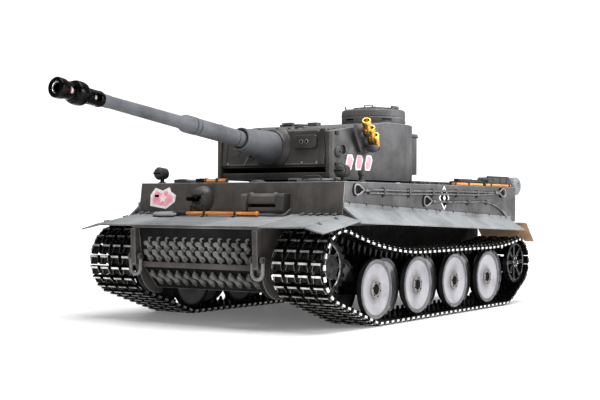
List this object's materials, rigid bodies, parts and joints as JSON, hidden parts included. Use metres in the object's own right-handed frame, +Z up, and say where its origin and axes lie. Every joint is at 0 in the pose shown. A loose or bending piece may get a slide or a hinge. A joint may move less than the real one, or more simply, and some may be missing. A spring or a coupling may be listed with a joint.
{
  "type": "rc tank",
  "caption": "Radio-controlled model heavy tank with a turning turret, elevating and recoiling gun, sprung interleaved road wheels, linked tracks and opening hatches.",
  "frame": {"origin": "bottom centre of the whole model's box, on the ground plane under the tracks", "axes": "+X forward along the hull and the gun, +Y to the tank's left, +Z up"},
  "size_m": [0.5174, 0.228, 0.1759],
  "materials": {
    "hull_paint": "matt grey paint with light weathering",
    "fender_paint": "lighter worn grey paint",
    "wheel_paint": "matt light grey discs",
    "tyre_rubber": "matt black",
    "track_metal": "blackened, with bright worn ridges",
    "drive_metal": "dark grey, worn at the teeth",
    "arm_metal": "dark grey",
    "gun_black": "satin black",
    "cable_steel": "twisted strands, grey",
    "tool_wood": "orange varnished wood",
    "discharger_brass": "satin",
    "marking_paint": "pink and white decals",
    "motor_metal": "brushed cans",
    "battery_wrap": "shrink wrap",
    "circuit_board": "green laminate"
  },
  "bodies": {
    "hull": {"lower_hull": "hull_paint", "upper_hull": "hull_paint", "engine_deck": "hull_paint", "mudguards": "fender_paint", "tow_cables": "cable_steel", "hull_tools": "tool_wood", "hull_fittings": "hull_paint", "drive_units": "motor_metal", "battery_pack": "battery_wrap", "control_board": "circuit_board", "left_track": "track_metal", "right_track": "track_metal"},
    "bow_gun": {"bow_gun": "gun_black"},
    "driver_hatch": {"driver_hatch": "hull_paint"},
    "radio_hatch": {"radio_hatch": "hull_paint"},
    "turret": {"turret_shell": "hull_paint", "cupola": "hull_paint", "stowage_bin": "hull_paint", "smoke_dischargers": "discharger_brass"},
    "commander_hatch": {"commander_hatch": "hull_paint"},
    "loader_hatch": {"loader_hatch": "hull_paint"},
    "gun_cradle": {"gun_mantlet": "hull_paint"},
    "gun_tube": {"gun_barrel": "hull_paint", "muzzle_brake": "gun_black"},
    "left_sprocket": {"left_sprocket": "drive_metal"},
    "left_idler": {"left_idler": "drive_metal"},
    "left_arm_1": {"left_arm_1": "arm_metal"},
    "left_wheels_1": {"left_wheels_1": "wheel_paint"},
    "left_arm_2": {"left_arm_2": "arm_metal"},
    "left_wheels_2": {"left_wheels_2": "wheel_paint"},
    "left_arm_3": {"left_arm_3": "arm_metal"},
    "left_wheels_3": {"left_wheels_3": "wheel_paint"},
    "left_arm_4": {"left_arm_4": "arm_metal"},
    "left_wheels_4": {"left_wheels_4": "wheel_paint"},
    "left_arm_5": {"left_arm_5": "arm_metal"},
    "left_wheels_5": {"left_wheels_5": "wheel_paint"},
    "left_arm_6": {"left_arm_6": "arm_metal"},
    "left_wheels_6": {"left_wheels_6": "wheel_paint"},
    "left_arm_7": {"left_arm_7": "arm_metal"},
    "left_wheels_7": {"left_wheels_7": "wheel_paint"},
    "left_arm_8": {"left_arm_8": "arm_metal"},
    "left_wheels_8": {"left_wheels_8": "wheel_paint"},
    "right_sprocket": {"right_sprocket": "drive_metal"},
    "right_idler": {"right_idler": "drive_metal"},
    "right_arm_1": {"right_arm_1": "arm_metal"},
    "right_wheels_1": {"right_wheels_1": "wheel_paint"},
    "right_arm_2": {"right_arm_2": "arm_metal"},
    "right_wheels_2": {"right_wheels_2": "wheel_paint"},
    "right_arm_3": {"right_arm_3": "arm_metal"},
    "right_wheels_3": {"right_wheels_3": "wheel_paint"},
    "right_arm_4": {"right_arm_4": "arm_metal"},
    "right_wheels_4": {"right_wheels_4": "wheel_paint"},
    "right_arm_5": {"right_arm_5": "arm_metal"},
    "right_wheels_5": {"right_wheels_5": "wheel_paint"},
    "right_arm_6": {"right_arm_6": "arm_metal"},
    "right_wheels_6": {"right_wheels_6": "wheel_paint"},
    "right_arm_7": {"right_arm_7": "arm_metal"},
    "right_wheels_7": {"right_wheels_7": "wheel_paint"},
    "right_arm_8": {"right_arm_8": "arm_metal"},
    "right_wheels_8": {"right_wheels_8": "wheel_paint"}
  },
  "joints": [
    {"name": "turret_traverse", "type": "hinge", "parent": "hull", "child": "turret", "pos_m": [-0.07219, 0, 0.10791], "axis": [0, 0, 1], "continuous": true},
    {"name": "gun_elevation", "type": "hinge", "parent": "turret", "child": "gun_cradle", "pos_m": [0.00281, 0, 0.13466], "axis": [0, -1, 0], "range_deg": [-14.9, 8.1]},
    {"name": "barrel_recoil", "type": "slide", "parent": "gun_cradle", "child": "gun_tube", "axis": [0.9928, 0, 0.1201], "range_m": [-0.012, 0], "stiffness_N_per_m": 400},
    {"name": "bow_gun_swivel", "type": "hinge", "parent": "hull", "child": "bow_gun", "pos_m": [0.06641, -0.033, 0.09421], "axis": [0, 0, 1], "range_deg": [-10, 10]},
    {"name": "commander_hatch_hinge", "type": "hinge", "parent": "turret", "child": "commander_hatch", "pos_m": [-0.08669, 0.0539, 0.17441], "axis": [-1, 0, 0], "range_deg": [0, 95]},
    {"name": "loader_hatch_hinge", "type": "hinge", "parent": "turret", "child": "loader_hatch", "pos_m": [-0.04979, -0.032, 0.16101], "axis": [0, 1, 0], "range_deg": [0, 95]},
    {"name": "driver_hatch_hinge", "type": "hinge", "parent": "hull", "child": "driver_hatch", "pos_m": [0.04181, 0.0781, 0.10991], "axis": [-1, 0, 0], "range_deg": [0, 95]},
    {"name": "radio_hatch_hinge", "type": "hinge", "parent": "hull", "child": "radio_hatch", "pos_m": [0.04181, -0.0781, 0.10991], "axis": [1, 0, 0], "range_deg": [0, 95]},
    {"name": "left_sprocket_spin", "type": "hinge", "parent": "hull", "child": "left_sprocket", "pos_m": [0.08571, 0.08865, 0.04621], "axis": [0, 1, 0], "continuous": true},
    {"name": "left_idler_spin", "type": "hinge", "parent": "hull", "child": "left_idler", "pos_m": [-0.22139, 0.08865, 0.03831], "axis": [0, 1, 0], "continuous": true},
    {"name": "left_arm_1_swing", "type": "hinge", "parent": "hull", "child": "left_arm_1", "pos_m": [0.05281, 0.06, 0.03781], "axis": [0, 1, 0], "range_deg": [0, 3], "stiffness_Nm_per_rad": 0.5},
    {"name": "left_wheels_1_spin", "type": "hinge", "parent": "left_arm_1", "child": "left_wheels_1", "pos_m": [0.03281, 0.08865, 0.02761], "axis": [0, 1, 0], "continuous": true},
    {"name": "left_arm_2_swing", "type": "hinge", "parent": "hull", "child": "left_arm_2", "pos_m": [0.02041, 0.06, 0.03781], "axis": [0, 1, 0], "range_deg": [0, 3], "stiffness_Nm_per_rad": 0.5},
    {"name": "left_wheels_2_spin", "type": "hinge", "parent": "left_arm_2", "child": "left_wheels_2", "pos_m": [0.00041, 0.08865, 0.02761], "axis": [0, 1, 0], "continuous": true},
    {"name": "left_arm_3_swing", "type": "hinge", "parent": "hull", "child": "left_arm_3", "pos_m": [-0.01199, 0.06, 0.03781], "axis": [0, 1, 0], "range_deg": [0, 3], "stiffness_Nm_per_rad": 0.5},
    {"name": "left_wheels_3_spin", "type": "hinge", "parent": "left_arm_3", "child": "left_wheels_3", "pos_m": [-0.03199, 0.08865, 0.02761], "axis": [0, 1, 0], "continuous": true},
    {"name": "left_arm_4_swing", "type": "hinge", "parent": "hull", "child": "left_arm_4", "pos_m": [-0.04439, 0.06, 0.03781], "axis": [0, 1, 0], "range_deg": [0, 3], "stiffness_Nm_per_rad": 0.5},
    {"name": "left_wheels_4_spin", "type": "hinge", "parent": "left_arm_4", "child": "left_wheels_4", "pos_m": [-0.06439, 0.08865, 0.02761], "axis": [0, 1, 0], "continuous": true},
    {"name": "left_arm_5_swing", "type": "hinge", "parent": "hull", "child": "left_arm_5", "pos_m": [-0.07679, 0.06, 0.03781], "axis": [0, 1, 0], "range_deg": [0, 3], "stiffness_Nm_per_rad": 0.5},
    {"name": "left_wheels_5_spin", "type": "hinge", "parent": "left_arm_5", "child": "left_wheels_5", "pos_m": [-0.09679, 0.08865, 0.02761], "axis": [0, 1, 0], "continuous": true},
    {"name": "left_arm_6_swing", "type": "hinge", "parent": "hull", "child": "left_arm_6", "pos_m": [-0.10919, 0.06, 0.03781], "axis": [0, 1, 0], "range_deg": [0, 3], "stiffness_Nm_per_rad": 0.5},
    {"name": "left_wheels_6_spin", "type": "hinge", "parent": "left_arm_6", "child": "left_wheels_6", "pos_m": [-0.12919, 0.08865, 0.02761], "axis": [0, 1, 0], "continuous": true},
    {"name": "left_arm_7_swing", "type": "hinge", "parent": "hull", "child": "left_arm_7", "pos_m": [-0.14159, 0.06, 0.03781], "axis": [0, 1, 0], "range_deg": [0, 3], "stiffness_Nm_per_rad": 0.5},
    {"name": "left_wheels_7_spin", "type": "hinge", "parent": "left_arm_7", "child": "left_wheels_7", "pos_m": [-0.16159, 0.08865, 0.02761], "axis": [0, 1, 0], "continuous": true},
    {"name": "left_arm_8_swing", "type": "hinge", "parent": "hull", "child": "left_arm_8", "pos_m": [-0.17399, 0.06, 0.03781], "axis": [0, 1, 0], "range_deg": [0, 3], "stiffness_Nm_per_rad": 0.5},
    {"name": "left_wheels_8_spin", "type": "hinge", "parent": "left_arm_8", "child": "left_wheels_8", "pos_m": [-0.19399, 0.08865, 0.02761], "axis": [0, 1, 0], "continuous": true},
    {"name": "right_sprocket_spin", "type": "hinge", "parent": "hull", "child": "right_sprocket", "pos_m": [0.08571, -0.08865, 0.04621], "axis": [0, 1, 0], "continuous": true},
    {"name": "right_idler_spin", "type": "hinge", "parent": "hull", "child": "right_idler", "pos_m": [-0.22139, -0.08865, 0.03831], "axis": [0, 1, 0], "continuous": true},
    {"name": "right_arm_1_swing", "type": "hinge", "parent": "hull", "child": "right_arm_1", "pos_m": [0.05281, -0.06, 0.03781], "axis": [0, 1, 0], "range_deg": [0, 3], "stiffness_Nm_per_rad": 0.5},
    {"name": "right_wheels_1_spin", "type": "hinge", "parent": "right_arm_1", "child": "right_wheels_1", "pos_m": [0.03281, -0.08865, 0.02761], "axis": [0, 1, 0], "continuous": true},
    {"name": "right_arm_2_swing", "type": "hinge", "parent": "hull", "child": "right_arm_2", "pos_m": [0.02041, -0.06, 0.03781], "axis": [0, 1, 0], "range_deg": [0, 3], "stiffness_Nm_per_rad": 0.5},
    {"name": "right_wheels_2_spin", "type": "hinge", "parent": "right_arm_2", "child": "right_wheels_2", "pos_m": [0.00041, -0.08865, 0.02761], "axis": [0, 1, 0], "continuous": true},
    {"name": "right_arm_3_swing", "type": "hinge", "parent": "hull", "child": "right_arm_3", "pos_m": [-0.01199, -0.06, 0.03781], "axis": [0, 1, 0], "range_deg": [0, 3], "stiffness_Nm_per_rad": 0.5},
    {"name": "right_wheels_3_spin", "type": "hinge", "parent": "right_arm_3", "child": "right_wheels_3", "pos_m": [-0.03199, -0.08865, 0.02761], "axis": [0, 1, 0], "continuous": true},
    {"name": "right_arm_4_swing", "type": "hinge", "parent": "hull", "child": "right_arm_4", "pos_m": [-0.04439, -0.06, 0.03781], "axis": [0, 1, 0], "range_deg": [0, 3], "stiffness_Nm_per_rad": 0.5},
    {"name": "right_wheels_4_spin", "type": "hinge", "parent": "right_arm_4", "child": "right_wheels_4", "pos_m": [-0.06439, -0.08865, 0.02761], "axis": [0, 1, 0], "continuous": true},
    {"name": "right_arm_5_swing", "type": "hinge", "parent": "hull", "child": "right_arm_5", "pos_m": [-0.07679, -0.06, 0.03781], "axis": [0, 1, 0], "range_deg": [0, 3], "stiffness_Nm_per_rad": 0.5},
    {"name": "right_wheels_5_spin", "type": "hinge", "parent": "right_arm_5", "child": "right_wheels_5", "pos_m": [-0.09679, -0.08865, 0.02761], "axis": [0, 1, 0], "continuous": true},
    {"name": "right_arm_6_swing", "type": "hinge", "parent": "hull", "child": "right_arm_6", "pos_m": [-0.10919, -0.06, 0.03781], "axis": [0, 1, 0], "range_deg": [0, 3], "stiffness_Nm_per_rad": 0.5},
    {"name": "right_wheels_6_spin", "type": "hinge", "parent": "right_arm_6", "child": "right_wheels_6", "pos_m": [-0.12919, -0.08865, 0.02761], "axis": [0, 1, 0], "continuous": true},
    {"name": "right_arm_7_swing", "type": "hinge", "parent": "hull", "child": "right_arm_7", "pos_m": [-0.14159, -0.06, 0.03781], "axis": [0, 1, 0], "range_deg": [0, 3], "stiffness_Nm_per_rad": 0.5},
    {"name": "right_wheels_7_spin", "type": "hinge", "parent": "right_arm_7", "child": "right_wheels_7", "pos_m": [-0.16159, -0.08865, 0.02761], "axis": [0, 1, 0], "continuous": true},
    {"name": "right_arm_8_swing", "type": "hinge", "parent": "hull", "child": "right_arm_8", "pos_m": [-0.17399, -0.06, 0.03781], "axis": [0, 1, 0], "range_deg": [0, 3], "stiffness_Nm_per_rad": 0.5},
    {"name": "right_wheels_8_spin", "type": "hinge", "parent": "right_arm_8", "child": "right_wheels_8", "pos_m": [-0.19399, -0.08865, 0.02761], "axis": [0, 1, 0], "continuous": true}
  ],
  "couplings": [
    {"joint": "left_idler_spin", "follows": "left_sprocket_spin", "ratio": 1.3797},
    {"joint": "left_wheels_1_spin", "follows": "left_sprocket_spin", "ratio": 1.1416},
    {"joint": "left_wheels_2_spin", "follows": "left_sprocket_spin", "ratio": 1.1416},
    {"joint": "left_wheels_3_spin", "follows": "left_sprocket_spin", "ratio": 1.1416},
    {"joint": "left_wheels_4_spin", "follows": "left_sprocket_spin", "ratio": 1.1416},
    {"joint": "left_wheels_5_spin", "follows": "left_sprocket_spin", "ratio": 1.1416},
    {"joint": "left_wheels_6_spin", "follows": "left_sprocket_spin", "ratio": 1.1416},
    {"joint": "left_wheels_7_spin", "follows": "left_sprocket_spin", "ratio": 1.1416},
    {"joint": "left_wheels_8_spin", "follows": "left_sprocket_spin", "ratio": 1.1416},
    {"joint": "right_idler_spin", "follows": "right_sprocket_spin", "ratio": 1.3797},
    {"joint": "right_wheels_1_spin", "follows": "right_sprocket_spin", "ratio": 1.1416},
    {"joint": "right_wheels_2_spin", "follows": "right_sprocket_spin", "ratio": 1.1416},
    {"joint": "right_wheels_3_spin", "follows": "right_sprocket_spin", "ratio": 1.1416},
    {"joint": "right_wheels_4_spin", "follows": "right_sprocket_spin", "ratio": 1.1416},
    {"joint": "right_wheels_5_spin", "follows": "right_sprocket_spin", "ratio": 1.1416},
    {"joint": "right_wheels_6_spin", "follows": "right_sprocket_spin", "ratio": 1.1416},
    {"joint": "right_wheels_7_spin", "follows": "right_sprocket_spin", "ratio": 1.1416},
    {"joint": "right_wheels_8_spin", "follows": "right_sprocket_spin", "ratio": 1.1416}
  ]
}
